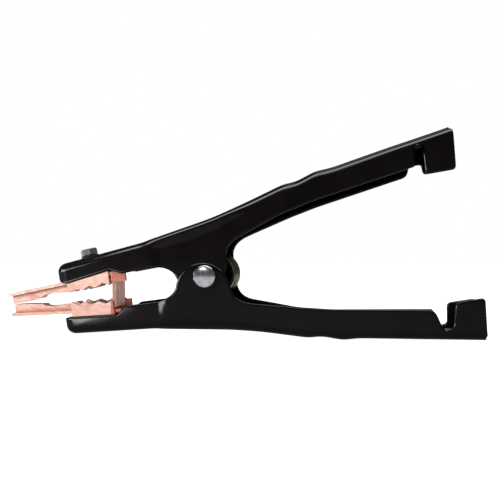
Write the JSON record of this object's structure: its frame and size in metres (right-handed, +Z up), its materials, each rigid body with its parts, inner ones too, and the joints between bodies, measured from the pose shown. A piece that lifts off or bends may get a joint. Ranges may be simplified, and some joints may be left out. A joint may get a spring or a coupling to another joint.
{
  "type": "ground clamp",
  "caption": "Sprung welding ground clamp: two crossed channel levers on one rivet, long-nosed toothed copper jaws joined by a copper strap, and cable tabs on the handles.",
  "frame": {"origin": "middle of the bounding box on the surface the clamp stands on, under the lower lever", "axes": "+X from the jaws to the handles, +Y along the pivot rivet away from its domed head, +Z up; the clamp stands on the back of its lower lever"},
  "size_m": [0.2464, 0.0342, 0.104],
  "materials": {
    "black_coat": "glossy black coating",
    "copper": "satin copper casting",
    "copper_braid": "woven copper braid",
    "zinc_steel": "bright zinc plate",
    "spring_steel": "yellow zinc plated wire"
  },
  "bodies": {
    "lower_lever_assembly": {"lower_lever": "black_coat", "lower_jaw": "copper", "jaw_rivet": "zinc_steel", "jaw_rivet_washer": "zinc_steel", "pivot_rivet": "zinc_steel", "pivot_bush": "zinc_steel", "pivot_washer": "zinc_steel", "torsion_spring": "spring_steel", "strap_front_leaf": "copper_braid", "strap_rear_leaf": "copper_braid"},
    "upper_lever_assembly": {"upper_lever": "black_coat", "upper_jaw": "copper", "terminal_screw": "zinc_steel", "terminal_lock_washer": "zinc_steel", "terminal_nut": "zinc_steel"}
  },
  "joints": [
    {"name": "jaw_opening", "type": "hinge", "parent": "lower_lever_assembly", "child": "upper_lever_assembly", "pos_m": [-0.01464, 0, 0.03145], "axis": [0, 1, 0], "range_deg": [0, 25], "stiffness_Nm_per_rad": 2, "springref_deg": -108.86, "deforming": ["torsion_spring", "strap_front_leaf", "strap_rear_leaf"]}
  ]
}
